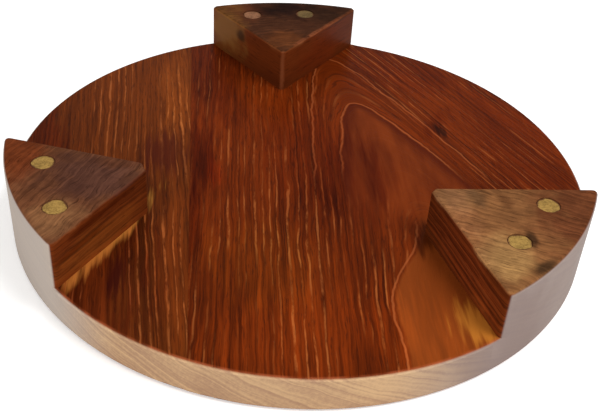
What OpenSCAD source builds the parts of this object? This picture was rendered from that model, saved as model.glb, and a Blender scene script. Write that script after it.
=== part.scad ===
// Round rolling board of edge-glued hardwood on three wedge-shaped feet, each held by two wooden pegs.
// It lies on its rolling face, with the feet up. Z = 0 is the rolling face and the grain runs along Y.

/* [Board] */
// Diameter of the board
board_d = 250; // [220:1:320]
// Thickness of the board
board_t = 16; // [12:0.5:26]
// Distance from the board's centre to the glued joint between its two planks, on the -X side
joint_x = 49; // [20:0.5:60]
// Rounding of the edge round the rolling face
rolling_edge_r = 2; // [0.5:0.1:4]
// Bevel of the edge round the foot side, which stops at the feet
rim_bevel = 0.8; // [0.3:0.1:2]
// Thickness of the glue between two glued faces
glue_t = 0.1; // [0.05:0.05:0.3]

/* [Feet] */
// Height of the feet
foot_h = 21.4; // [14:0.1:32]
// Angle between the two straight sides of a foot
foot_angle = 74.4; // [60:0.1:84]
// Rounding of a foot's two upright edges at the rim
foot_corner_r = 1.8; // [1.2:0.1:4]
// Bevel round the face that a foot stands on
foot_bevel = 0.9; // [0.3:0.1:1.1]

/* [Back foot] */
// Distance from the rim in to the foot's tip
back_run = 54.9; // [46:0.1:66]
// Bearing of the tip from the board's centre, anticlockwise from +X
back_bearing = 93.2; // [80:0.1:105]
// Turn of the foot about its tip, away from the line to the board's centre
back_turn = -6.1; // [-12:0.1:12]
// Width of the flat on the tip
back_tip_flat = 2.1; // [1:0.1:12]
// Distance from the rim in to the middle of the two pegs, along the foot
back_pegs_in = 14.4; // [11:0.1:22]
// Shift of the pegs' middle to the foot's anticlockwise side
back_pegs_shift = 1.7; // [-6:0.1:6]
// Distance between the two pegs
back_pegs_apart = 27.6; // [20:0.1:34]
// Slant of the line through the two pegs
back_pegs_slant = -6.8; // [-10:0.1:10]

/* [Left foot] */
// Distance from the rim in to the foot's tip
left_run = 52.8; // [46:0.1:66]
// Bearing of the tip from the board's centre, anticlockwise from +X
left_bearing = 202.1; // [190:0.1:215]
// Turn of the foot about its tip, away from the line to the board's centre
left_turn = -3.4; // [-12:0.1:12]
// Width of the flat on the tip
left_tip_flat = 5.8; // [1:0.1:12]
// Distance from the rim in to the middle of the two pegs, along the foot
left_pegs_in = 14.7; // [11:0.1:22]
// Shift of the pegs' middle to the foot's anticlockwise side
left_pegs_shift = -0.1; // [-6:0.1:6]
// Distance between the two pegs
left_pegs_apart = 30.7; // [20:0.1:34]
// Slant of the line through the two pegs
left_pegs_slant = 3.4; // [-10:0.1:10]

/* [Right foot] */
// Distance from the rim in to the foot's tip
right_run = 59.4; // [46:0.1:66]
// Bearing of the tip from the board's centre, anticlockwise from +X
right_bearing = 317.7; // [305:0.1:330]
// Turn of the foot about its tip, away from the line to the board's centre
right_turn = 4.0; // [-12:0.1:12]
// Width of the flat on the tip
right_tip_flat = 3.1; // [1:0.1:12]
// Distance from the rim in to the middle of the two pegs, along the foot
right_pegs_in = 18.0; // [11:0.1:22]
// Shift of the pegs' middle to the foot's anticlockwise side
right_pegs_shift = 4.7; // [-6:0.1:6]
// Distance between the two pegs
right_pegs_apart = 28.8; // [20:0.1:34]
// Slant of the line through the two pegs
right_pegs_slant = -0.2; // [-10:0.1:10]

/* [Pegs] */
// Diameter of the pegs
peg_d = 9.5; // [6:0.1:12]
// Clearance round a peg in its hole, on the radius
peg_fit = 0.05; // [0.02:0.01:0.1]
// Depth of a peg's hole in the board
peg_hole_t = 10; // [4:0.5:11]
// Space between a peg's end and the bottom of its hole
peg_end_gap = 0.5; // [0.2:0.1:1]
// Distance that a peg's end lies below the foot's face
peg_sink = 0.3; // [0.1:0.1:1]
// Bevel on a peg's buried end
peg_bevel = 0.8; // [0.3:0.1:1.5]

/* [Hidden] */
$fn = 128;

// Feet in the order back, left, right
BACK = 0;
LEFT = 1;
RIGHT = 2;
FEET = [BACK, LEFT, RIGHT];
run = [back_run, left_run, right_run];
bearing = [back_bearing, left_bearing, right_bearing];
turn = [back_turn, left_turn, right_turn];
tip_flat = [back_tip_flat, left_tip_flat, right_tip_flat];
pegs_in = [back_pegs_in, left_pegs_in, right_pegs_in];
pegs_shift = [back_pegs_shift, left_pegs_shift, right_pegs_shift];
pegs_apart = [back_pegs_apart, left_pegs_apart, right_pegs_apart];
pegs_slant = [back_pegs_slant, left_pegs_slant, right_pegs_slant];

// Sides of a foot, seen from its tip towards the rim
ANTICLOCKWISE = 1;
CLOCKWISE = -1;

board_r = board_d / 2;
half_angle = foot_angle / 2;
foot_z = board_t + glue_t;
top_z = foot_z + foot_h;
hole_bottom_z = board_t - peg_hole_t;
peg_bottom_z = hole_bottom_z + peg_end_gap;
peg_top_z = top_z - peg_sink;
// Flat facets that round one upright edge
FACETS = 3;
// Reach of a cutter past what it cuts
past = 2 * foot_bevel;

function unit(angle) = [cos(angle), sin(angle)];

// Direction in which foot i runs, from its tip to the rim
function foot_dir(i) = bearing[i] + turn[i];

function tip(i) = (board_r - run[i]) * unit(bearing[i]);

// Point where the two straight sides of foot i would meet
function apex(i) = tip(i) - unit(foot_dir(i)) * tip_flat[i] / 2 / tan(half_angle);

function side_angle(i, side) = foot_dir(i) + side * half_angle;

// End of the tip's flat on one side of foot i
function flat_end(i, side) = apex(i) + unit(side_angle(i, side)) * tip_flat[i] / 2 / sin(half_angle);

// Centre of a rounded upright edge, foot_corner_r inside both the side and the rim
function corner(i, side) =
    let (
        along = unit(side_angle(i, side)),
        base = apex(i) + foot_corner_r * unit(side_angle(i, side) - side * 90),
        ahead = base * along,
        reach = board_r - foot_corner_r
    )
    base + (sqrt(ahead * ahead - base * base + reach * reach) - ahead) * along;

// Angle swept by a rounded upright edge, from the side round to the rim
function corner_sweep(i, side) =
    let (
        out = unit(side_angle(i, side) + side * 90),
        radial = corner(i, side) / norm(corner(i, side))
    )
    acos(out * radial);

// Points of a rounded upright edge, from the side on, without the one that would lie on the rim
function corner_points(i, side) = [
    for (k = [0 : FACETS - 1])
        let (angle = side_angle(i, side) + side * (90 - corner_sweep(i, side) * k / FACETS))
        corner(i, side) + foot_corner_r * unit(angle),
];

// Point outside the rim, straight on from the last facet of a rounded upright edge
function beyond(i, side) =
    let (
        heading = side_angle(i, side) - side * corner_sweep(i, side) * (FACETS - 0.5) / FACETS,
        width = norm(corner(i, ANTICLOCKWISE) - corner(i, CLOCKWISE))
    )
    corner_points(i, side)[FACETS - 1] + width / 2 * unit(heading);

// Points of foot i on one side, from the tip's flat to beyond the rim
function side_points(i, side) = concat([flat_end(i, side)], corner_points(i, side), [beyond(i, side)]);

function reversed(list) = [for (k = [len(list) - 1 : -1 : 0]) list[k]];

// Outline of foot i, anticlockwise, which the rim then cuts
function outline(i) = concat(side_points(i, CLOCKWISE), reversed(side_points(i, ANTICLOCKWISE)));

// Centre of one peg of foot i
function peg_at(i, side) =
    let (
        along = unit(foot_dir(i)),
        across = unit(foot_dir(i) + 90),
        row = unit(foot_dir(i) + 90 - pegs_slant[i])
    )
    tip(i) + (run[i] - pegs_in[i]) * along + pegs_shift[i] * across + side * pegs_apart[i] / 2 * row;

// Cutter that bevels the top edge from p to q of a foot that lies on the left of it
module edge_cutter(p, q) {
    edge = q - p;
    translate([p.x, p.y, top_z])
        rotate([0, 0, atan2(edge.y, edge.x)])
            rotate([45, 0, 0])
                translate([-past, -past, -foot_bevel / sqrt(2)])
                    cube([norm(edge) + 2 * past, 2 * past, past]);
}

// Cylinder of the board's radius that reaches as high as the feet, with the bevel on its top edge
module rim_cylinder() {
    translate([0, 0, board_t])
        cylinder(h = glue_t + foot_h - foot_bevel, r = board_r);
    translate([0, 0, top_z - foot_bevel])
        cylinder(h = foot_bevel, r1 = board_r, r2 = board_r - foot_bevel);
}

module peg_hole(i, side) {
    translate([peg_at(i, side).x, peg_at(i, side).y, hole_bottom_z])
        cylinder(h = top_z + past - hole_bottom_z, r = peg_d / 2 + peg_fit);
}

// Foot i before the rim cuts it: its outline with the top edges bevelled
module foot_blank(i) {
    points = outline(i);
    difference() {
        translate([0, 0, foot_z])
            linear_extrude(foot_h)
                polygon(points);
        for (k = [0 : len(points) - 1])
            edge_cutter(points[k], points[(k + 1) % len(points)]);
    }
}

module foot(i) {
    color([0.46, 0.27, 0.17])
        difference() {
            intersection() {
                foot_blank(i);
                rim_cylinder();
            }
            for (side = [CLOCKWISE, ANTICLOCKWISE])
                peg_hole(i, side);
        }
}

module peg(i, side) {
    color([0.86, 0.7, 0.45])
        translate([peg_at(i, side).x, peg_at(i, side).y, peg_bottom_z]) {
            cylinder(h = peg_bevel, r1 = peg_d / 2 - peg_bevel, r2 = peg_d / 2);
            translate([0, 0, peg_bevel])
                cylinder(h = peg_top_z - peg_bottom_z - peg_bevel, r = peg_d / 2);
        }
}

// Whole disc with square edges on the foot side
module plain_disc() {
    cylinder(h = rolling_edge_r, r = board_r - rolling_edge_r);
    translate([0, 0, rolling_edge_r]) {
        cylinder(h = board_t - rolling_edge_r, r = board_r);
        rotate_extrude()
            translate([board_r - rolling_edge_r, 0])
                circle(r = rolling_edge_r);
    }
}

// Cutter for the bevel round the foot side, left out where a foot reaches the rim
module rim_cutter() {
    difference() {
        rotate_extrude()
            polygon([
                [board_r - 2 * rim_bevel, board_t + rim_bevel],
                [board_r + rim_bevel, board_t - 2 * rim_bevel],
                [board_r + rim_bevel, board_t + rim_bevel],
            ]);
        for (i = FEET)
            translate([0, 0, board_t - 2 * rim_bevel - past])
                linear_extrude(3 * rim_bevel + 2 * past)
                    polygon([[0, 0], 1.5 * corner(i, CLOCKWISE), 1.5 * corner(i, ANTICLOCKWISE)]);
    }
}

// The finished disc, before it is divided into its planks
module board() {
    difference() {
        plain_disc();
        rim_cutter();
        for (i = FEET)
            for (side = [CLOCKWISE, ANTICLOCKWISE])
                peg_hole(i, side);
    }
}

// Box that holds all of the board between two places along X
module slab(x_from, x_to) {
    translate([x_from, -board_r - past, -past])
        cube([x_to - x_from, board_d + 2 * past, board_t + 2 * past]);
}

module board_wide_plank() {
    color([0.58, 0.31, 0.18])
        intersection() {
            board();
            slab(-joint_x, board_r + past);
        }
}

module board_narrow_plank() {
    color([0.64, 0.4, 0.23])
        intersection() {
            board();
            slab(-board_r - past, -joint_x - glue_t);
        }
}

board_wide_plank();
board_narrow_plank();
foot(BACK);  // foot_back
foot(LEFT);  // foot_left
foot(RIGHT);  // foot_right
peg(BACK, ANTICLOCKWISE);  // peg_back_left
peg(BACK, CLOCKWISE);  // peg_back_right
peg(LEFT, CLOCKWISE);  // peg_left_rear
peg(LEFT, ANTICLOCKWISE);  // peg_left_front
peg(RIGHT, ANTICLOCKWISE);  // peg_right_rear
peg(RIGHT, CLOCKWISE);  // peg_right_front
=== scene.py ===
"""Looks of a round rolling board of edge-glued hardwood that lies with its three pegged feet up."""
import math

import bmesh
import bpy
from bpy.props import FloatProperty, FloatVectorProperty, PointerProperty
from mathutils import Matrix, Vector


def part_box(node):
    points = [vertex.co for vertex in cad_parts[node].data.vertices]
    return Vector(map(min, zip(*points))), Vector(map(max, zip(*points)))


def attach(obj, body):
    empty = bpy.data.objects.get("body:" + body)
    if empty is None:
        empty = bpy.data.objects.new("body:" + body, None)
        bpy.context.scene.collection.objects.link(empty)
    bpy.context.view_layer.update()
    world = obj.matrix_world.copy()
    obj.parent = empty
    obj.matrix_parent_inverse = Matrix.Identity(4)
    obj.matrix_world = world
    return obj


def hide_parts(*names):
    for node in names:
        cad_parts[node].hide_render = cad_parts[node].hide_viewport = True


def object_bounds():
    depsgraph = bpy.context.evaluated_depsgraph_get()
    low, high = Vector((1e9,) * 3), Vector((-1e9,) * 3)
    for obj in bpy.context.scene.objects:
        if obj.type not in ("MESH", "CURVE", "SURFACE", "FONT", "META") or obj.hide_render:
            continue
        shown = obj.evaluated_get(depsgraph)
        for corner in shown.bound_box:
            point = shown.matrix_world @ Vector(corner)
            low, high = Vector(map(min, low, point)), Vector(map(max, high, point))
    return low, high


bl_info = {
    "name": "Rolling board looks",
    "version": (1, 0, 0),
    "blender": (4, 5, 0),
    "location": "3D View > Sidebar > Rolling board",
    "description": "Dresses a pegged, three-footed rolling board in worn satin hardwood",
    "category": "Object",
}

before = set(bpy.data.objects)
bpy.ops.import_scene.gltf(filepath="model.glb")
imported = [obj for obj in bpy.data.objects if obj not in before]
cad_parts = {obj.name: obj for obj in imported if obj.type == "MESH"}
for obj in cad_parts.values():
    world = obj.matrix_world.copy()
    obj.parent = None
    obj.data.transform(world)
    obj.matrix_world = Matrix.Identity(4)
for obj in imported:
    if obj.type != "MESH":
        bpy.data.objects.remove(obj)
CAD_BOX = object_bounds()
MM = 0.001

# Tolerances: vertices at one place, faces that are one flat face, edges that count as sharp, vertices that
# lie on a plane or a rim, and vertices that lie on the planks' joint
SAME_PLACE = 0.001 * MM
FLAT = math.radians(0.5)
SHARP = math.radians(28)
NEAR = 0.3 * MM
NEAR_JOINT = 0.2 * MM

# Gap between the floor and the board, how far the floor reaches under the board's edge, the distances
# from the middle between which it fades to clear, and the number of its sides
FLOOR_GAP = 0.15 * MM
FLOOR_LIP = 2.6 * MM
FLOOR_FADE = (0.5, 1.0)
FLOOR_SIDES = 96

SENSOR_WIDTH = 36.0

FEET = ["foot_back", "foot_left", "foot_right"]
PEGS = ["peg_back_left", "peg_back_right", "peg_left_rear", "peg_left_front", "peg_right_rear",
        "peg_right_front"]

BOARD_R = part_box("board_wide_plank")[1][0]
FACE_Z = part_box("board_wide_plank")[1][2]
TOP_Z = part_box("foot_back")[1][2]
JOINT_X = (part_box("board_narrow_plank")[1][0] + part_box("board_wide_plank")[0][0]) / 2


def linear(red, green, blue):
    """A screen colour from 0 to 255 as the linear colour that the shaders take."""
    tone = [channel / 255 for channel in (red, green, blue)]
    return tuple(c / 12.92 if c <= 0.04045 else ((c + 0.055) / 1.055) ** 2.4 for c in tone) + (1.0,)


PORE = linear(40, 15, 8)
ARCH_DARK = linear(92, 34, 11)
ARCH_LIGHT = linear(130, 56, 20)
ARCH_EDGE = linear(80, 26, 9)
RING_LINE = linear(184, 98, 52)
GOLDEN_WOOD = linear(140, 68, 24)
# Colour of the painted highlight along the face's front edge
EDGE_HIGHLIGHT = linear(186, 96, 58)
SIDE_LIGHT = linear(136, 62, 24)
SIDE_DARK = linear(56, 20, 8)
SIDE_STREAK = linear(170, 96, 50)
GLUE = linear(92, 58, 38)


class BoardLooks(bpy.types.PropertyGroup):
    """Sizes and colours of the board, its feet and its pegs."""

    edge: FloatProperty(
        name="Edge", description="Width of the softened edges", default=0.5 * MM, min=0, unit="LENGTH")
    peg_wear: FloatProperty(
        name="Peg wear", description="Depth to which the pegs' ends are worn", default=0.2 * MM, min=0,
        unit="LENGTH")
    early_wood: FloatVectorProperty(
        name="Early wood", description="Light part of a growth ring", subtype="COLOR", size=4,
        default=linear(128, 49, 11), min=0, max=1)
    late_wood: FloatVectorProperty(
        name="Late wood", description="Dark part of a growth ring", subtype="COLOR", size=4,
        default=linear(56, 17, 4), min=0, max=1)
    narrow_light: FloatVectorProperty(
        name="Narrow plank light", description="Light wood of the narrow plank", subtype="COLOR", size=4,
        default=linear(120, 55, 17), min=0, max=1)
    narrow_dark: FloatVectorProperty(
        name="Narrow plank dark", description="Dark wood of the narrow plank", subtype="COLOR", size=4,
        default=linear(60, 23, 6), min=0, max=1)
    pale_streak: FloatVectorProperty(
        name="Pale streak", description="Thin pale lines along the grain", subtype="COLOR", size=4,
        default=linear(186, 104, 52), min=0, max=1)
    raw_wood: FloatVectorProperty(
        name="Raw wood", description="Light part of the sanded, unfinished rim", subtype="COLOR", size=4,
        default=linear(214, 176, 134), min=0, max=1)
    raw_grain: FloatVectorProperty(
        name="Raw grain", description="Dark part of the unfinished rim", subtype="COLOR", size=4,
        default=linear(176, 138, 110), min=0, max=1)
    # The rim's left and right tones are painted light: paler grey where light falls at the left, grey-lilac
    # shade at the right
    raw_left: FloatVectorProperty(
        name="Raw left", description="Light grey rim at the left", subtype="COLOR", size=4,
        default=linear(192, 182, 174), min=0, max=1)
    raw_right: FloatVectorProperty(
        name="Raw right", description="Grey-lilac rim at the right", subtype="COLOR", size=4,
        default=linear(160, 146, 142), min=0, max=1)
    peg_wood: FloatVectorProperty(
        name="Peg wood", description="End grain of the pegs", subtype="COLOR", size=4,
        default=linear(172, 136, 74), min=0, max=1)


class StageLooks(bpy.types.PropertyGroup):
    """Floor and camera."""

    camera_place: FloatVectorProperty(
        name="Camera", description="Where the camera stands", subtype="TRANSLATION",
        default=(-0.0429, -0.3497, 0.2622))
    camera_ahead: FloatVectorProperty(
        name="Ahead", description="Direction in which the camera looks", subtype="DIRECTION",
        default=(0.09885, 0.79164, -0.60293))
    camera_up: FloatVectorProperty(
        name="Up", description="Direction of the picture's top", subtype="DIRECTION",
        default=(0.00555, 0.60545, 0.79586))
    lens: FloatProperty(
        name="Lens", description="Focal length in millimetres on a 36 mm sensor", default=57.975, min=10)
    floor_size: FloatProperty(
        name="Floor", description="Width of the round floor", default=6.0, min=1, unit="LENGTH")


def place(tree, kind, inputs=None, **settings):
    """Adds a node, sets its properties, and feeds its inputs with values or other nodes' outputs."""
    made = tree.nodes.new(kind)
    for key, value in settings.items():
        setattr(made, key, value)
    for key, value in (inputs or {}).items():
        if isinstance(value, bpy.types.NodeSocket):
            tree.links.new(value, made.inputs[key])
        else:
            made.inputs[key].default_value = value
    return made


def calc(tree, operation, *terms):
    """Result of a Math node."""
    return place(tree, "ShaderNodeMath", dict(enumerate(terms)), operation=operation).outputs[0]


def centred(tree, value):
    """A noise value moved so that its middle is nought."""
    return calc(tree, "SUBTRACT", value, 0.5)


def length_of(tree, one, other):
    """Length of the slanting side over two distances at a right angle."""
    squares = calc(tree, "ADD", calc(tree, "POWER", one, 2.0), calc(tree, "POWER", other, 2.0))
    return calc(tree, "SQRT", squares)


def blend(tree, factor, base, top, how="MIX"):
    """Colour that goes from base to top with the factor."""
    return place(
        tree, "ShaderNodeMix", {0: factor, 6: base, 7: top}, data_type="RGBA", blend_type=how,
        clamp_factor=True).outputs[2]


def between(tree, value, low, high, out_low=0.0, out_high=1.0):
    """Smooth step of a value from low to high."""
    return place(
        tree, "ShaderNodeMapRange", {0: value, 1: low, 2: high, 3: out_low, 4: out_high},
        interpolation_type="SMOOTHSTEP").outputs[0]


def noise(tree, vector, scale, detail=3.0, rough=0.55):
    """Noise from nought to one."""
    return place(
        tree, "ShaderNodeTexNoise",
        {"Vector": vector, "Scale": scale, "Detail": detail, "Roughness": rough}).outputs["Fac"]


def ring_noise(tree, across, detail):
    """Noise that changes only with a distance across the rings."""
    return place(
        tree, "ShaderNodeTexNoise", {"W": across, "Scale": 1.0, "Detail": detail, "Roughness": 0.65},
        noise_dimensions="1D").outputs["Fac"]


def thin_lines(tree, across, per_metre, width):
    """Mask of thin lines along the grain, unevenly spaced; the width is a share of their spacing."""
    steps = calc(tree, "MULTIPLY", across, per_metre)
    jitter = calc(tree, "MULTIPLY", ring_noise(tree, calc(tree, "MULTIPLY", steps, 0.45), 0.0), 1.05)
    middle = calc(tree, "ABSOLUTE", centred(tree, calc(tree, "FRACT", calc(tree, "ADD", steps, jitter))))
    return between(tree, middle, width, width * 0.3)


def stretch(tree, vector, x, y, z, turn=(0, 0, 0), shift=(0, 0, 0)):
    """Vector scaled along each axis, turned and shifted."""
    return place(
        tree, "ShaderNodeMapping",
        {"Vector": vector, "Location": shift, "Rotation": turn, "Scale": (x, y, z)}).outputs[0]


def new_group(name, inputs, outputs):
    """An empty shader group with the given sockets, and its input and output nodes."""
    group = bpy.data.node_groups.new(name, "ShaderNodeTree")
    for label, kind, value in inputs:
        socket = group.interface.new_socket(name=label, in_out="INPUT", socket_type="NodeSocket" + kind)
        if value is not None:
            socket.default_value = value
    for label, kind in outputs:
        group.interface.new_socket(name=label, in_out="OUTPUT", socket_type="NodeSocket" + kind)
    return group, group.nodes.new("NodeGroupInput"), group.nodes.new("NodeGroupOutput")


def grain_group():
    """Bands, fine lines, pores and pale streaks of wood, from a place measured across and along its rings."""
    group, given, result = new_group(
        "Wood grain",
        [("Place", "Vector", None), ("Light", "Color", (1, 1, 1, 1)), ("Dark", "Color", (0, 0, 0, 1)),
         ("Streak", "Color", (1, 1, 1, 1)), ("Bands per metre", "Float", 300.0), ("Bands", "Float", 0.6),
         ("Lines", "Float", 1.0), ("Pale streaks", "Float", 0.5)],
        [("Color", "Color"), ("Height", "Float")])
    spot = given.outputs["Place"]
    sway = centred(group, noise(group, stretch(group, spot, 36, 11, 11), 1.0, 2.0))
    sway = calc(group, "MULTIPLY", sway, 5 * MM)
    shiver = centred(group, noise(group, stretch(group, spot, 190, 66, 66), 1.0, 2.0))
    shiver = calc(group, "MULTIPLY", shiver, 1.6 * MM)
    parts = place(group, "ShaderNodeSeparateXYZ", {0: spot})
    across = calc(group, "ADD", parts.outputs[0], calc(group, "ADD", sway, shiver))
    swayed = place(
        group, "ShaderNodeCombineXYZ", {0: across, 1: parts.outputs[1], 2: parts.outputs[2]}).outputs[0]
    bands = ring_noise(group, calc(group, "MULTIPLY", across, given.outputs["Bands per metre"]), 3.0)
    broad = noise(group, stretch(group, spot, 30, 8, 8, shift=(4, 1, 6)), 1.0, 3.0)
    lines = noise(group, stretch(group, swayed, 1000, 28, 28), 1.0, 3.0, 0.65)
    tone = calc(group, "MULTIPLY", centred(group, bands), given.outputs["Bands"])
    tone = calc(group, "ADD", tone, calc(group, "MULTIPLY", centred(group, broad), 0.7))
    tone = calc(group, "ADD", tone, calc(group, "MULTIPLY", centred(group, lines), given.outputs["Lines"]))
    color = blend(group, between(group, tone, -0.34, 0.34), given.outputs["Dark"], given.outputs["Light"])
    broken = noise(group, stretch(group, swayed, 300, 70, 70, shift=(5, 2, 8)), 1.0, 4.0, 0.7)
    ring_mask = thin_lines(group, across, 330.0, 0.17)
    ring_mask = calc(group, "MULTIPLY", ring_mask, between(group, broken, 0.3, 0.6, 0.15, 0.9))
    ring_mask = calc(group, "MULTIPLY", ring_mask, given.outputs["Bands"])
    color = blend(group, ring_mask, color, given.outputs["Dark"])
    pores = noise(group, stretch(group, swayed, 2000, 150, 150, shift=(7, 3, 1)), 1.0, 1.0)
    pore_mask = between(group, pores, 0.58, 0.72)
    color = blend(group, calc(group, "MULTIPLY", pore_mask, 0.45), color, PORE)
    pale_mask = thin_lines(group, calc(group, "ADD", across, 0.43), 290.0, 0.14)
    patches = noise(group, stretch(group, spot, 50, 16, 16, shift=(1, 7, 3)), 1.0, 2.0)
    pale_mask = calc(group, "MULTIPLY", pale_mask, between(group, broken, 0.64, 0.4))
    pale_mask = calc(group, "MULTIPLY", pale_mask, between(group, patches, 0.4, 0.6))
    color = blend(group, calc(group, "MULTIPLY", pale_mask, given.outputs["Pale streaks"]), color,
                  given.outputs["Streak"])
    height = calc(group, "MULTIPLY", lines, 0.4)
    height = calc(group, "SUBTRACT", height, calc(group, "MULTIPLY", pore_mask, 0.5))
    group.links.new(color, result.inputs["Color"])
    group.links.new(height, result.inputs["Height"])
    return group


def spot_group():
    """Soft-edged oval mask at a place on the wood, with a streaky or blotchy outline."""
    group, given, result = new_group(
        "Placed mark",
        [("Vector", "Vector", None), ("Centre", "Vector", (0, 0, 0)), ("Reach", "Vector", (1, 1, 1)),
         ("Turn", "Float", 0.0), ("Unevenness", "Float", 0.5), ("Blotchy", "Float", 0.0)],
        [("Mask", "Float")])
    offset = place(
        group, "ShaderNodeVectorMath", {0: given.outputs["Vector"], 1: given.outputs["Centre"]},
        operation="SUBTRACT").outputs[0]
    turned = place(
        group, "ShaderNodeVectorRotate", {"Vector": offset, "Angle": given.outputs["Turn"]},
        rotation_type="Z_AXIS").outputs[0]
    scaled = place(
        group, "ShaderNodeVectorMath", {0: turned, 1: given.outputs["Reach"]}, operation="DIVIDE").outputs[0]
    distance = place(group, "ShaderNodeVectorMath", {0: scaled}, operation="LENGTH").outputs["Value"]
    streaky = noise(group, stretch(group, given.outputs["Vector"], 420, 32, 60), 1.0, 3.0)
    blotchy = noise(group, given.outputs["Vector"], 90.0, 5.0)
    ragged = place(group, "ShaderNodeMix", {0: given.outputs["Blotchy"], 2: streaky, 3: blotchy},
                   data_type="FLOAT").outputs[0]
    ragged = calc(group, "MULTIPLY", centred(group, ragged), given.outputs["Unevenness"])
    mask = between(group, calc(group, "ADD", distance, calc(group, "MULTIPLY", ragged, 2.6)), 1.25, 0.35)
    group.links.new(mask, result.inputs["Mask"])
    return group


def raw_group():
    """Mask of the turned, unfinished surface round the rim, with its slanting end grain."""
    group, given, result = new_group(
        "Raw rim",
        [("Vector", "Vector", None), ("Radius", "Float", BOARD_R), ("Color", "Color", (1, 1, 1, 1)),
         ("Grain color", "Color", (0.5, 0.5, 0.5, 1)), ("Left color", "Color", (0.5, 0.5, 0.5, 1)),
         ("Right color", "Color", (0.5, 0.5, 0.5, 1))],
        [("Mask", "Float"), ("Edge", "Float"), ("Color", "Color")])
    vector = given.outputs["Vector"]
    parts = place(group, "ShaderNodeSeparateXYZ", {0: vector})
    x, y, z = parts.outputs[0], parts.outputs[1], parts.outputs[2]
    radius = length_of(group, x, y)
    inward = calc(group, "SUBTRACT", given.outputs["Radius"], radius)
    mask = between(group, inward, 0.95 * MM, 0.25 * MM)
    edge = between(group, inward, 2.0 * MM, 1.0 * MM)
    warp = calc(group, "MULTIPLY", centred(group, noise(group, vector, 45.0, 2.0)), 5 * MM)
    slant = calc(group, "ADD", calc(group, "MULTIPLY", x, 0.42), calc(group, "MULTIPLY", z, 0.9))
    rings = ring_noise(group, calc(group, "MULTIPLY", calc(group, "ADD", slant, warp), 520.0), 2.0)
    patches = noise(group, stretch(group, vector, 22, 22, 50), 1.0, 2.0)
    fuzz = noise(group, stretch(group, vector, 900, 900, 900), 1.0, 2.0)
    tone = calc(group, "ADD", centred(group, rings), calc(group, "MULTIPLY", centred(group, patches), 0.8))
    tone = calc(group, "ADD", tone, calc(group, "MULTIPLY", centred(group, fuzz), 0.4))
    tone = between(group, tone, -0.3, 0.3)
    end_grain = blend(group, tone, given.outputs["Grain color"], given.outputs["Color"])
    # Painted light: paler grey towards the left, where light falls, and grey-lilac painted shade towards the
    # right
    left = blend(group, 0.15, given.outputs["Left color"], end_grain)
    right = blend(group, 0.1, given.outputs["Right color"], end_grain)
    color = blend(group, between(group, x, -72 * MM, -104 * MM), end_grain, left)
    color = blend(group, between(group, x, 15 * MM, 66 * MM), color, right)
    group.links.new(mask, result.inputs["Mask"])
    group.links.new(edge, result.inputs["Edge"])
    group.links.new(color, result.inputs["Color"])
    return group


def seen_white(tree):
    """Nought or one: whether a ray is the camera's, or mirrored or let through to it."""
    path = tree.nodes.new("ShaderNodeLightPath")
    mirrored = calc(tree, "MAXIMUM", path.outputs["Is Glossy Ray"], path.outputs["Is Transmission Ray"])
    return calc(tree, "MAXIMUM", path.outputs["Is Camera Ray"], mirrored)


def shade(material, tree, color, rough, height, bump):
    """Ends a material: a satin surface with bump from the grain."""
    surface = tree.nodes.new("ShaderNodeBsdfPrincipled")
    tree.links.new(color, surface.inputs["Base Color"])
    tree.links.new(rough, surface.inputs["Roughness"])
    surface.inputs["Specular IOR Level"].default_value = 0.012
    relief = place(tree, "ShaderNodeBump", {"Height": height, "Strength": bump, "Distance": 0.15 * MM})
    tree.links.new(relief.outputs[0], surface.inputs["Normal"])
    place(tree, "ShaderNodeOutputMaterial", {"Surface": surface.outputs[0]})
    return material


def start_material(name):
    """An empty material with its node tree and the place on the object."""
    material = bpy.data.materials.new(name)
    material.use_nodes = True
    material.node_tree.nodes.clear()
    tree = material.node_tree
    return material, tree, tree.nodes.new("ShaderNodeTexCoord").outputs["Object"]


def use_group(tree, group, inputs):
    """Adds a shared node group with the given inputs, and gives its outputs."""
    return place(tree, "ShaderNodeGroup", inputs, node_tree=group).outputs


# Marks on the wood: what they are, how they colour the wood under them, centre, half sizes and turn,
# with lengths in millimetres and turns in degrees; a tint multiplies the wood's colour, a paint covers it
WIDE_MARKS = [
    ("dark grain right of the joint", ("tint", 0.5, 0.38, 0.36), (-44, 8, 16), (8, 34, 40), 0),
    ("dark trail to the front", ("tint", 0.62, 0.5, 0.45), (-47, -38, 16), (3.5, 28, 40), 0),
    ("red spot by the dark grain", ("tint", 1.35, 1.1, 1.0), (-38, -2, 16), (4, 11, 40), 0),
    ("dark rear", ("tint", 0.66, 0.58, 0.6), (-36, 78, 16), (14, 46, 40), 0),
    ("golden front", ("tint", 1.15, 1.3, 1.1), (-20, -62, 16), (26, 30, 40), 0),
    ("red front", ("tint", 1.3, 1.25, 1.1), (0, -104, 16), (60, 24, 40), 0),
    ("light wood left of the front line", ("tint", 1.2, 1.15, 1.05), (17, -80, 16), (12, 36, 40), -8),
    ("shade behind the right foot's tip", ("tint", 0.45, 0.4, 0.4), (47, -49, 16), (4, 12, 40), 20),
    ("dark streak in the arch", ("tint", 0.72, 0.6, 0.58), (33, -4, 16), (3.5, 28, 40), 0),
    ("golden patch by the right foot", ("paint", 196, 122, 44), (58, -100, 16), (8, 13, 8), -20),
    ("knot", ("paint", 20, 9, 5), (70, 32, 16), (2.8, 8, 8), -20),
    ("dark wood round the knot", ("tint", 0.75, 0.65, 0.6), (68, 38, 16), (5, 18, 40), 28),
    ("dark middle", ("tint", 0.8, 0.7, 0.68), (3, 14, 16), (22, 60, 40), 0),
    ("dark centre", ("tint", 0.82, 0.72, 0.7), (24, -10, 16), (24, 40, 40), 0),
    ("brown right rim", ("tint", 0.78, 0.7, 0.68), (104, 20, 16), (24, 70, 40), 0),
    ("brown right rear", ("tint", 0.84, 0.76, 0.74), (62, 88, 16), (30, 24, 40), 40),
]
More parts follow.
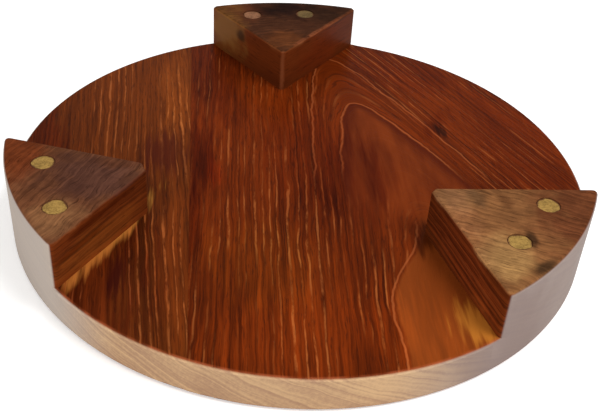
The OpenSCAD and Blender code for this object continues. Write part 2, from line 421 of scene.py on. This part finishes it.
NARROW_MARKS = [
    ("golden strip", ("tint", 1.42, 1.5, 1.4), (-56, 70, 16), (9, 54, 40), 0),
    ("smoky smudge", ("paint", 70, 22, 12), (-60, 14, 16), (11, 18, 8), 0),
    ("golden band by the left foot", ("paint", 214, 146, 62), (-80, -47, 16), (4.5, 33, 8), 27),
    ("dark streak", ("paint", 54, 16, 12), (-76, -70, 16), (3.5, 15, 8), 0),
    ("red front", ("tint", 0.86, 0.66, 0.7), (-88, -76, 16), (26, 52, 40), 0),
    ("light front by the joint", ("tint", 1.25, 1.15, 1.05), (-56, -66, 16), (10, 50, 40), 0),
    ("red left rim", ("tint", 0.95, 0.7, 0.65), (-114, 28, 16), (10, 40, 40), -14),
]
# Painted light on the raw rim: painted shade at the front right, and a lighter, cooler grey at the right
RIM_MARKS = [
    ("shaded front right", ("tint", 0.84, 0.8, 0.8), (66, -104, 8), (34, 26, 40), 0),
    ("light grey right", ("tint", 1.04, 1.12, 1.16), (122, -40, 16), (24, 50, 40), 0),
]
PAINT_STRENGTH = 0.75


def marked(tree, vector, color, marks, spot, unevenness=0.5, blotchy=0.0):
    """Colours the wood at the placed marks, with its grain still seen."""
    for _, (how, *tone), centre, reach, turn in marks:
        mask = use_group(tree, spot, {
            "Vector": vector,
            "Centre": tuple(value * MM for value in centre),
            "Reach": tuple(value * MM for value in reach),
            "Turn": math.radians(turn),
            "Unevenness": unevenness,
            "Blotchy": blotchy,
        })["Mask"]
        if how == "paint":
            color = blend(tree, calc(tree, "MULTIPLY", mask, PAINT_STRENGTH), color, linear(*tone))
        else:
            color = blend(tree, mask, color, (*tone, 1.0), "MULTIPLY")
    return color


def raw_rim(tree, vector, looks, raw):
    """Raw rim in the panel's colours."""
    return use_group(tree, raw, {
        "Vector": vector, "Color": looks.raw_wood, "Grain color": looks.raw_grain,
        "Left color": looks.raw_left, "Right color": looks.raw_right})


# Arched rings of the wide plank: where their middle line crosses the middle of the board, how far it leans
# to the left per length, how round their tops are, how fast the rings follow each other along the grain,
# and which two of them are drawn as pale lines
ARCH_MIDDLE = 43.6 * MM
ARCH_LEAN = 0.21
ARCH_ROUND = 15.5 * MM
ARCH_RISE = 0.245
INNER_RING = 29.4 * MM
OUTER_RING = 40.4 * MM


def arch_field(tree, x, y):
    """Distance across the arched rings of the wide plank, and how steeply it grows across the face."""
    middle = calc(tree, "ADD", ARCH_MIDDLE, calc(tree, "MULTIPLY", y, -ARCH_LEAN))
    away = calc(tree, "SUBTRACT", x, middle)
    round_top = length_of(tree, away, ARCH_ROUND)
    field = calc(tree, "ADD", round_top, calc(tree, "MULTIPLY", y, ARCH_RISE))
    slope = calc(tree, "DIVIDE", away, round_top)
    rise = calc(tree, "ADD", calc(tree, "MULTIPLY", slope, ARCH_LEAN), ARCH_RISE)
    return field, length_of(tree, slope, rise)


def ring_line(tree, color, distance, seen):
    """Draws a pale line where a distance is nought, as strong as it is seen."""
    line = between(tree, calc(tree, "ABSOLUTE", distance), 0.7 * MM, 0.15 * MM)
    line = calc(tree, "MULTIPLY", calc(tree, "MULTIPLY", line, seen), 0.45)
    return blend(tree, line, color, RING_LINE)


def arch_lines(tree, x, y, field, steep, color):
    """Smooth wood inside the arches, and the pale lines of the rings that the photograph shows."""
    wavy = centred(tree, noise(tree, place(tree, "ShaderNodeCombineXYZ", {0: x, 1: y}).outputs[0], 55.0, 3.0))
    wavy = calc(tree, "MULTIPLY", wavy, 5 * MM)
    inner = calc(tree, "ADD", calc(tree, "DIVIDE", calc(tree, "SUBTRACT", INNER_RING, field), steep), wavy)
    outer = calc(tree, "ADD", calc(tree, "DIVIDE", calc(tree, "SUBTRACT", OUTER_RING, field), steep), wavy)
    front_edge = calc(tree, "ADD", 27.5 * MM, between(tree, y, -88 * MM, -40 * MM, 0.0, 18 * MM))
    front = calc(tree, "SUBTRACT", calc(tree, "ADD", x, wavy), front_edge)
    inside = calc(tree, "MULTIPLY", between(tree, inner, 0.0, 1.2 * MM), between(tree, y, -50 * MM, -10 * MM))
    golden = calc(tree, "MULTIPLY", between(tree, front, 0.0, 2.5 * MM), between(tree, y, -20 * MM, -50 * MM))
    flat = place(tree, "ShaderNodeCombineXYZ", {0: x, 1: y}).outputs[0]
    soft = noise(tree, stretch(tree, flat, 80, 14, 1), 1.0, 3.0)
    smooth = blend(tree, between(tree, soft, 0.3, 0.7), ARCH_DARK, ARCH_LIGHT)
    edge_shade = calc(tree, "MULTIPLY", between(tree, inner, 9 * MM, 0.0), inside)
    smooth = blend(tree, edge_shade, smooth, ARCH_EDGE)
    smooth = blend(tree, calc(tree, "MULTIPLY", golden, 0.6), smooth, GOLDEN_WOOD)
    color = blend(tree, calc(tree, "MULTIPLY", calc(tree, "MAXIMUM", inside, golden), 0.9), color, smooth)
    color = ring_line(tree, color, inner, between(tree, y, -12 * MM, 8 * MM))
    color = ring_line(tree, color, outer, between(tree, y, -14 * MM, 4 * MM))
    return ring_line(tree, color, front, between(tree, y, -34 * MM, -46 * MM))


def plank_material(looks, name, groups, marks, arched):
    """Finished face with straight or arched rings, and a raw rim."""
    grain, spot, raw = groups
    material, tree, vector = start_material(name)
    parts = place(tree, "ShaderNodeSeparateXYZ", {0: vector})
    x, y, z = parts.outputs[0], parts.outputs[1], parts.outputs[2]
    if arched:
        across, steep = arch_field(tree, x, y)
        contrast = between(tree, steep, 0.2, 0.8, 0.25, 1.0)
    else:
        across = calc(tree, "ADD", x, calc(tree, "MULTIPLY", y, 0.05))
        contrast = 1.0
    wood = use_group(tree, grain, {
        "Place": place(tree, "ShaderNodeCombineXYZ", {0: across, 1: y, 2: z}).outputs[0],
        "Light": looks.early_wood if arched else looks.narrow_light,
        "Dark": looks.late_wood if arched else looks.narrow_dark, "Streak": looks.pale_streak,
        "Bands per metre": 300.0 if arched else 220.0, "Bands": calc(tree, "MULTIPLY", contrast, 0.4),
        "Lines": calc(tree, "MULTIPLY", contrast, 0.8),
        "Pale streaks": calc(tree, "MULTIPLY", contrast, 0.5)})
    color = wood["Color"]
    if arched:
        color = arch_lines(tree, x, y, across, steep, color)
    color = marked(tree, vector, color, marks, spot, 0.9)
    rim = raw_rim(tree, vector, looks, raw)
    # Painted highlight: a thin lighter line along the face's edge by the rim, strongest at the front and
    # broken into patches
    patchy = between(tree, noise(tree, vector, 120.0, 3.0), 0.35, 0.6, 0.1, 0.5)
    worn = calc(tree, "MULTIPLY", rim["Edge"], between(tree, y, 40 * MM, -60 * MM))
    worn = calc(tree, "MULTIPLY", worn, patchy)
    color = blend(tree, worn, color, EDGE_HIGHLIGHT)
    color = blend(tree, rim["Mask"], color, marked(tree, vector, rim["Color"], RIM_MARKS, spot, 0.4, 1.0))
    rough = calc(tree, "ADD", 0.38, calc(tree, "MULTIPLY", rim["Mask"], 0.35))
    relief = calc(tree, "MULTIPLY", wood["Height"], calc(tree, "SUBTRACT", 1.0, rim["Mask"]))
    return shade(material, tree, color, rough, relief, 0.5)


# Looks of the feet: piece name, wood of the standing face, turn of its grain in degrees, how strongly
# the sides are banded, and marks as on the planks
FOOT_LOOKS = {
    "foot_back": ("back_foot", (84, 49, 31), 80, 0.12, [
        ("red left end", ("paint", 116, 62, 38), (-27, 112, 37.4), (16, 13, 2.2), 0),
        ("black middle", ("paint", 20, 12, 12), (0, 117, 37.4), (17, 11, 2.2), 0),
        ("dark right end", ("paint", 52, 32, 20), (22, 112, 37.4), (14, 12, 2.2), 0),
        ("brown tip", ("paint", 118, 66, 34), (-3, 81, 37.4), (13, 11, 2.2), 0),
        ("golden-green side", ("paint", 136, 92, 44), (-32, 108, 30), (13, 22, 14), 0),
        ("dark spot of the side", ("paint", 44, 24, 14), (-23, 98, 31), (3.5, 4, 3.5), 0),
        ("redder right side", ("tint", 1.1, 0.9, 0.85), (18, 95, 24), (18, 24, 12), 0),
        # Painted highlights along the right top edge and along the edge of the tip
        ("painted highlight on the right top edge", ("paint", 150, 84, 52), (16, 93.8, 37.0), (1.0, 29, 0.9), 40.4),
        ("painted highlight on the edge of the tip", ("paint", 132, 72, 42), (-4, 70.2, 28), (1.4, 1.4, 13), 0),
    ]),
    "foot_left": ("left_foot", (118, 72, 46), 28, 0.5, [
        ("orange corner", ("paint", 134, 62, 28), (-118, -18, 37.4), (13, 20, 2.2), 0),
        ("grey middle", ("paint", 94, 60, 50), (-87, -33, 37.4), (22, 18, 2.2), 0),
        ("tan front", ("paint", 156, 108, 70), (-99, -63, 37.4), (11, 14, 2.2), 0),
        ("brown rear of the tip", ("paint", 106, 62, 40), (-76, -24, 37.4), (12, 5, 2.2), 0),
        ("golden side", ("tint", 1.3, 1.55, 1.3), (-84, -52, 22), (22, 30, 9), 0),
        ("upper dark stripe", ("tint", 0.6, 0.5, 0.45), (-84, -54, 33.5), (22, 30, 1.8), 0),
        ("lower dark stripe", ("tint", 0.66, 0.56, 0.5), (-90, -62, 27), (14, 20, 1.5), 0),
    ]),
    "foot_right": ("right_foot", (150, 100, 60), -65, 0.8, [
        ("pale front", ("paint", 196, 150, 92), (67, -88, 37.4), (11, 16, 2.2), 0),
        ("pale tip", ("paint", 158, 112, 72), (57, -50, 37.4), (10, 9, 2.2), 0),
        ("grey spot", ("tint", 0.62, 0.66, 0.72), (65, -50, 37.4), (4, 7, 2.2), 0),
        ("brown spot", ("tint", 0.66, 0.62, 0.62), (76, -53, 37.4), (3.5, 7, 2.2), 0),
        ("red outer part", ("paint", 116, 60, 36), (107, -62, 37.4), (25, 42, 2.2), 0),
        ("dark chip by the peg", ("paint", 24, 18, 14), (80, -76, 37.4), (2.6, 5, 2.2), 0),
        ("stain by the rim", ("paint", 24, 22, 18), (80, -93, 37.4), (8, 3, 2.2), -40),
        ("light side", ("tint", 1.25, 1.2, 1.3), (56, -74, 27), (14, 36, 14), 0),
        ("light end of the side", ("tint", 1.25, 1.35, 1.2), (64, -90, 20), (8, 10, 8), 0),
    ]),
}


def foot_material(looks, node, groups):
    """Feet: cross grain worn on the standing face, banded red-brown sides, raw outer face."""
    grain, spot, raw = groups
    name, wood, turn, banded, marks = FOOT_LOOKS[node]
    material, tree, vector = start_material("Wood of the " + name.replace("_", " "))
    parts = place(tree, "ShaderNodeSeparateXYZ", {0: vector})
    x, y, z = parts.outputs[0], parts.outputs[1], parts.outputs[2]
    layered = calc(tree, "ADD", z, calc(tree, "MULTIPLY", x, 0.04))
    side = use_group(tree, grain, {
        "Place": place(tree, "ShaderNodeCombineXYZ", {0: layered, 1: x, 2: y}).outputs[0],
        "Light": SIDE_LIGHT, "Dark": SIDE_DARK, "Streak": SIDE_STREAK,
        "Bands per metre": 330.0, "Bands": 0.9 * banded, "Lines": 0.6 * banded, "Pale streaks": 0.2 * banded})
    waves = centred(tree, noise(tree, stretch(tree, vector, 75, 75, 10), 1.0, 2.0))
    waves = calc(tree, "MULTIPLY", waves, 6 * MM)
    turned = stretch(tree, vector, 1, 1, 1, turn=(0, 0, math.radians(turn)))
    pattern = use_group(tree, grain, {
        "Place": place(tree, "ShaderNodeVectorMath", {0: turned, 1: waves}, operation="ADD").outputs[0],
        "Light": (1.2, 1.2, 1.2, 1), "Dark": (0.5, 0.48, 0.48, 1), "Streak": (1.7, 1.6, 1.4, 1),
        "Bands per metre": 420.0, "Bands": 0.4, "Lines": 0.7, "Pale streaks": 0.15})
    mottle = noise(tree, vector, 150.0, 5.0, 0.7)
    mottle = between(tree, mottle, 0.6, 0.4, 0.0, 0.7)
    speckled = blend(tree, mottle, pattern["Color"], (0.66, 0.64, 0.66, 1), "MULTIPLY")
    worn = between(tree, z, TOP_Z - 0.9 * MM, TOP_Z - 0.2 * MM)
    color = blend(tree, worn, side["Color"], linear(*wood))
    color = marked(tree, vector, color, marks, spot, 0.7, 1.0)
    color = blend(tree, worn, color, speckled, "MULTIPLY")
    rim = raw_rim(tree, vector, looks, raw)
    outer = calc(tree, "MULTIPLY", rim["Mask"], calc(tree, "SUBTRACT", 1.0, worn))
    color = blend(tree, outer, color, marked(tree, vector, rim["Color"], RIM_MARKS, spot, 0.4, 1.0))
    rough = calc(tree, "ADD", 0.42, calc(tree, "MULTIPLY", calc(tree, "MAXIMUM", outer, worn), 0.25))
    relief = calc(tree, "MULTIPLY", pattern["Height"], worn)
    return shade(material, tree, color, rough, relief, 0.4)


# End grain of the two pegs of the back foot, stained and darkened with painted shade; the others take the peg
# colour of the panel
PEG_TONES = {"peg_back_left": (150, 104, 76), "peg_back_right": (116, 94, 60)}


def peg_material(looks, node):
    """Pale end grain, darker in an uneven ring of glue at the edge of one peg."""
    material, tree, vector = start_material("End grain of " + node)
    low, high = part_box(node)
    parts = place(tree, "ShaderNodeSeparateXYZ", {0: vector})
    across = calc(tree, "SUBTRACT", parts.outputs[0], (low[0] + high[0]) / 2)
    along = calc(tree, "SUBTRACT", parts.outputs[1], (low[1] + high[1]) / 2)
    radius = length_of(tree, across, along)
    wobble = calc(tree, "MULTIPLY", centred(tree, noise(tree, vector, 240.0, 3.0)), 3.4 * MM)
    ring = between(tree, calc(tree, "ADD", radius, wobble), 3.9 * MM, 4.7 * MM)
    specks = noise(tree, vector, 1300.0, 3.0, 0.7)
    patches = noise(tree, vector, 260.0, 2.0)
    tone = calc(tree, "ADD", calc(tree, "MULTIPLY", specks, 0.7), calc(tree, "MULTIPLY", patches, 0.5))
    pale = linear(*PEG_TONES[node]) if node in PEG_TONES else looks.peg_wood
    deep = tuple(channel * 0.5 for channel in pale[:3]) + (1.0,)
    color = blend(tree, between(tree, tone, 0.4, 0.75), deep, pale)
    color = blend(tree, ring, color, GLUE)
    rough = calc(tree, "ADD", 0.5, calc(tree, "MULTIPLY", specks, 0.2))
    return shade(material, tree, color, rough, specks, 0.4)


def foot_arcs():
    """Middle bearing and half width, in radians, of each foot's outer face where it stands on the board."""
    arcs = []
    for node in FEET:
        low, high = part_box(node)
        middle = math.atan2(low[1] + high[1], low[0] + high[0])
        reach = [math.remainder(math.atan2(v.co.y, v.co.x) - middle, math.tau)
                 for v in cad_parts[node].data.vertices
                 if v.co.xy.length > BOARD_R - NEAR and abs(v.co.z - FACE_Z) < NEAR]
        arcs.append((middle + (min(reach) + max(reach)) / 2, (max(reach) - min(reach)) / 2))
    return arcs


def glued(co, arcs):
    """Tells whether a point of the board's upper edge lies under a foot's outer face."""
    near_edge = abs(co.z - FACE_Z) < NEAR and co.xy.length > BOARD_R - 4 * NEAR
    bearing = math.atan2(co.y, co.x)
    return near_edge and any(abs(math.remainder(bearing - middle, math.tau)) < half for middle, half in arcs)


def soften(piece, width):
    """Rounds a piece's edges by the given width."""
    bevel = piece.modifiers.new("Softened edges", "BEVEL")
    bevel.width = width
    bevel.segments = 2
    bevel.harden_normals = True
    return bevel


def dress(node, name, material, slot, edge):
    """Makes a softened copy of a node's mesh, which stands for that node."""
    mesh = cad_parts[node].data.copy()
    mesh.name = name
    bm = bmesh.new()
    bm.from_mesh(mesh)
    bmesh.ops.remove_doubles(bm, verts=bm.verts, dist=SAME_PLACE)
    bmesh.ops.dissolve_limit(bm, angle_limit=FLAT, verts=bm.verts, edges=bm.edges)
    seam = set()
    if slot == "board_wood":
        arcs = foot_arcs()
        for vert in bm.verts:
            if glued(vert.co, arcs):
                vert.co.xy *= BOARD_R / vert.co.xy.length
                seam.add(vert)
            elif abs(vert.co.x - JOINT_X) < NEAR_JOINT:
                vert.co.x = JOINT_X
                seam.add(vert)
    elif slot == "foot_wood":
        for vert in bm.verts:
            if abs(vert.co.z - FACE_Z) < NEAR:
                vert.co.z = FACE_Z
                seam.add(vert)
    bm.normal_update()
    softened = bm.edges.layers.float.new("bevel_weight_edge")
    for line in bm.edges:
        joined = seam.issuperset(line.verts)
        rounded = slot == "board_wood" and all(vert.co.z < FACE_Z / 4 for vert in line.verts)
        sharp = line.calc_face_angle(0.0) > SHARP and (joined or not rounded)
        line[softened] = float(sharp and not joined)
        line.smooth = not sharp
    for face in bm.faces:
        face.smooth = True
    bm.to_mesh(mesh)
    bm.free()
    piece = bpy.data.objects.new(name, mesh)
    bpy.context.scene.collection.objects.link(piece)
    mesh.materials.clear()
    mesh.materials.append(material)
    soften(piece, edge).limit_method = "WEIGHT"
    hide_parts(node)
    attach(piece, "root")
    return piece


def shared_groups():
    """The node groups that all the wood materials share, built once."""
    makers = {"Wood grain": grain_group, "Placed mark": spot_group, "Raw rim": raw_group}
    return [bpy.data.node_groups.get(name) or make() for name, make in makers.items()]


class MakePlanks(bpy.types.Operator):
    """Dress the two glued planks of the round board"""

    bl_idname = "rolling_board.planks"
    bl_label = "Planks"

    def execute(self, context):
        looks = context.scene.board_looks
        groups = shared_groups()
        wide = plank_material(looks, "Wide plank", groups, WIDE_MARKS, True)
        narrow = plank_material(looks, "Narrow plank", groups, NARROW_MARKS, False)
        dress("board_wide_plank", "wide_plank", wide, "board_wood", looks.edge)
        dress("board_narrow_plank", "narrow_plank", narrow, "board_wood", looks.edge)
        return {"FINISHED"}


class MakeFeet(bpy.types.Operator):
    """Dress the three wedge-shaped feet"""

    bl_idname = "rolling_board.feet"
    bl_label = "Feet"

    def execute(self, context):
        looks = context.scene.board_looks
        groups = shared_groups()
        for node in FEET:
            dress(node, FOOT_LOOKS[node][0], foot_material(looks, node, groups), "foot_wood", looks.edge)
        return {"FINISHED"}


def peg_tree():
    """Geometry Nodes tree of one peg: a pin whose upper end is worn uneven with the foot."""
    tree = bpy.data.node_groups.new("Worn peg", "GeometryNodeTree")
    for label, kind in (("Place", "Vector"), ("Radius", "Float"), ("Length", "Float"), ("Wear", "Float"),
                        ("Seed", "Float"), ("Wood", "Material")):
        tree.interface.new_socket(name=label, in_out="INPUT", socket_type="NodeSocket" + kind)
    tree.interface.new_socket(name="Peg", in_out="OUTPUT", socket_type="NodeSocketGeometry")
    given = tree.nodes.new("NodeGroupInput").outputs
    result = tree.nodes.new("NodeGroupOutput")
    pin = place(tree, "GeometryNodeMeshCylinder", {
        "Vertices": 64, "Side Segments": 1, "Fill Segments": 8, "Radius": given["Radius"],
        "Depth": given["Length"]}, fill_type="TRIANGLE_FAN")
    spot = tree.nodes.new("GeometryNodeInputPosition").outputs[0]
    uneven = place(tree, "ShaderNodeTexNoise", {
        "Vector": spot, "W": given["Seed"], "Scale": 300.0, "Detail": 2.0}, noise_dimensions="4D")
    hollow = calc(tree, "MULTIPLY", uneven.outputs["Fac"], given["Wear"])
    hollow = calc(tree, "MULTIPLY", hollow, -1.0)
    sunk = place(tree, "ShaderNodeCombineXYZ", {2: hollow}).outputs[0]
    worn = place(tree, "GeometryNodeSetPosition", {
        "Geometry": pin.outputs["Mesh"], "Selection": pin.outputs["Top"], "Offset": sunk})
    one_point = tree.nodes.new("GeometryNodePoints")
    tree.links.new(given["Place"], one_point.inputs["Position"])
    copies = place(tree, "GeometryNodeInstanceOnPoints", {
        "Points": one_point.outputs[0], "Instance": worn.outputs[0]})
    real = place(tree, "GeometryNodeRealizeInstances", {0: copies.outputs[0]})
    finished = place(
        tree, "GeometryNodeSetMaterial", {"Geometry": real.outputs[0], "Material": given["Wood"]})
    tree.links.new(finished.outputs[0], result.inputs[0])
    return tree


def make_peg(tree, node, values):
    """Runs the peg's tree once and keeps the result as a plain mesh that stands for a CAD node."""
    holder = bpy.data.objects.new(node + "_maker", bpy.data.meshes.new(node))
    bpy.context.scene.collection.objects.link(holder)
    maker = holder.modifiers.new("Worn peg", "NODES")
    maker.node_group = tree
    for item in tree.interface.items_tree:
        if item.in_out == "INPUT":
            maker[item.identifier] = values[item.name]
    ready = holder.evaluated_get(bpy.context.evaluated_depsgraph_get())
    peg = bpy.data.objects.new(node + "_end", bpy.data.meshes.new_from_object(ready))
    bpy.data.objects.remove(holder)
    bpy.context.scene.collection.objects.link(peg)
    soften(peg, values["Wear"])
    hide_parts(node)
    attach(peg, "root")


class MakePegs(bpy.types.Operator):
    """Make the six worn pegs that hold the feet"""

    bl_idname = "rolling_board.pegs"
    bl_label = "Pegs"

    def execute(self, context):
        looks = context.scene.board_looks
        tree = peg_tree()
        for seed, node in enumerate(PEGS):
            low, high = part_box(node)
            make_peg(tree, node, {
                "Place": [(a + b) / 2 for a, b in zip(low, high)],
                "Radius": (high[0] - low[0]) / 2,
                "Length": high[2] - low[2],
                "Wear": looks.peg_wear,
                "Seed": float(seed),
                "Wood": peg_material(looks, node),
            })
        return {"FINISHED"}


def add_lamp(name, place_at, size, power):
    """Round lamp of the given width in metres and power in watts, aimed at the middle of the board."""
    data = bpy.data.lights.new(name, "AREA")
    data.shape = "DISK"
    data.size = size
    data.energy = power
    lamp = bpy.data.objects.new(name, data)
    lamp.location = place_at
    lamp.rotation_euler = (-Vector(place_at)).to_track_quat("-Z", "Y").to_euler()
    bpy.context.scene.collection.objects.link(lamp)


def floor_mesh(reach):
    """Round floor, open under the board so that light from below reaches the rolling face."""
    mesh = bpy.data.meshes.new("floor")
    low = CAD_BOX[0][2] - FLOOR_GAP
    turns = [math.tau * i / FLOOR_SIDES for i in range(FLOOR_SIDES)]
    points = [(radius * math.cos(turn), radius * math.sin(turn), low)
              for radius in (BOARD_R - FLOOR_LIP, reach) for turn in turns]
    pairs = [(i, (i + 1) % FLOOR_SIDES) for i in range(FLOOR_SIDES)]
    faces = [(one, one + FLOOR_SIDES, other + FLOOR_SIDES, other) for one, other in pairs]
    mesh.from_pydata(points, [], faces)
    return mesh


def floor_material():
    """Pale matt floor that keeps its shadow on white, clear from below and far away."""
    material, tree, vector = start_material("White floor")
    paint = place(tree, "ShaderNodeBsdfDiffuse", {"Color": (0.9, 0.9, 0.9, 1)})
    lift = place(tree, "ShaderNodeEmission",
                 {"Color": (1, 1, 1, 1), "Strength": calc(tree, "MULTIPLY", seen_white(tree), 0.34)})
    both = place(tree, "ShaderNodeAddShader", {0: paint.outputs[0], 1: lift.outputs[0]})
    under = tree.nodes.new("ShaderNodeNewGeometry").outputs["Backfacing"]
    spot = place(tree, "ShaderNodeSeparateXYZ", {0: vector})
    far = between(tree, length_of(tree, spot.outputs[0], spot.outputs[1]), *FLOOR_FADE)
    clear = tree.nodes.new("ShaderNodeBsdfTransparent")
    seen = place(tree, "ShaderNodeMixShader", {
        0: calc(tree, "MAXIMUM", under, far), 1: both.outputs[0], 2: clear.outputs[0]})
    place(tree, "ShaderNodeOutputMaterial", {"Surface": seen.outputs[0]})
    return material


def studio_world():
    """Soft warm light from all round, white where the camera sees it."""
    world = bpy.data.worlds.new("Studio")
    world.use_nodes = True
    tree = world.node_tree
    tree.nodes.clear()
    soft = place(tree, "ShaderNodeBackground", {"Color": (1.0, 0.99, 0.97, 1), "Strength": 0.5})
    white = place(tree, "ShaderNodeBackground", {"Color": (1, 1, 1, 1), "Strength": 1.0})
    seen = place(tree, "ShaderNodeMixShader", {0: seen_white(tree), 1: soft.outputs[0], 2: white.outputs[0]})
    place(tree, "ShaderNodeOutputWorld", {"Surface": seen.outputs[0]})
    return world


def make_camera(looks):
    """Camera with the place, aim and lens of the panel."""
    data = bpy.data.cameras.new("Camera")
    data.sensor_fit = "HORIZONTAL"
    data.sensor_width = SENSOR_WIDTH
    data.lens = looks.lens
    data.clip_start = 0.01
    ahead = Vector(looks.camera_ahead).normalized()
    right = ahead.cross(Vector(looks.camera_up)).normalized()
    up = right.cross(ahead)
    camera = bpy.data.objects.new("Camera", data)
    axes = Matrix((right, up, -ahead)).transposed().to_4x4()
    camera.matrix_world = Matrix.Translation(looks.camera_place) @ axes
    return camera


class MakeStage(bpy.types.Operator):
    """Lay the floor, set the lamps and the world, and place the camera"""

    bl_idname = "rolling_board.stage"
    bl_label = "Stage"

    def execute(self, context):
        scene = context.scene
        looks = scene.stage_looks
        mesh = floor_mesh(looks.floor_size / 2)
        mesh.materials.append(floor_material())
        floor = bpy.data.objects.new("floor", mesh)
        scene.collection.objects.link(floor)
        scene.world = studio_world()
        add_lamp("Key", (0.5, -0.35, 1.1), 0.5, 8.0)
        add_lamp("Fill", (-0.6, -0.9, 0.7), 0.9, 4.0)
        camera = make_camera(looks)
        scene.collection.objects.link(camera)
        scene.camera = camera
        scene.view_settings.view_transform = "Standard"
        return {"FINISHED"}


class RollingBoardPanel(bpy.types.Panel):
    """Lists the board's sizes, colours and making steps"""

    bl_idname = "VIEW3D_PT_rolling_board"
    bl_label = "Rolling board"
    bl_space_type = "VIEW_3D"
    bl_region_type = "UI"
    bl_category = "Rolling board"

    def draw(self, context):
        for looks in (context.scene.board_looks, context.scene.stage_looks):
            for key in looks.__annotations__:
                self.layout.prop(looks, key)
        for step in STEPS:
            self.layout.operator(step.bl_idname)


STEPS = [MakePlanks, MakeFeet, MakePegs, MakeStage]
CLASSES = [BoardLooks, StageLooks, *STEPS, RollingBoardPanel]


def register():
    for cls in CLASSES:
        bpy.utils.register_class(cls)
    bpy.types.Scene.board_looks = PointerProperty(type=BoardLooks)
    bpy.types.Scene.stage_looks = PointerProperty(type=StageLooks)


def unregister():
    del bpy.types.Scene.board_looks
    del bpy.types.Scene.stage_looks
    for cls in reversed(CLASSES):
        bpy.utils.unregister_class(cls)


def main():
    """Builds the looks and the stage."""
    register()
    bpy.ops.rolling_board.planks()
    bpy.ops.rolling_board.feet()
    bpy.ops.rolling_board.pegs()
    bpy.ops.rolling_board.stage()


if __name__ == "__main__":
    main()
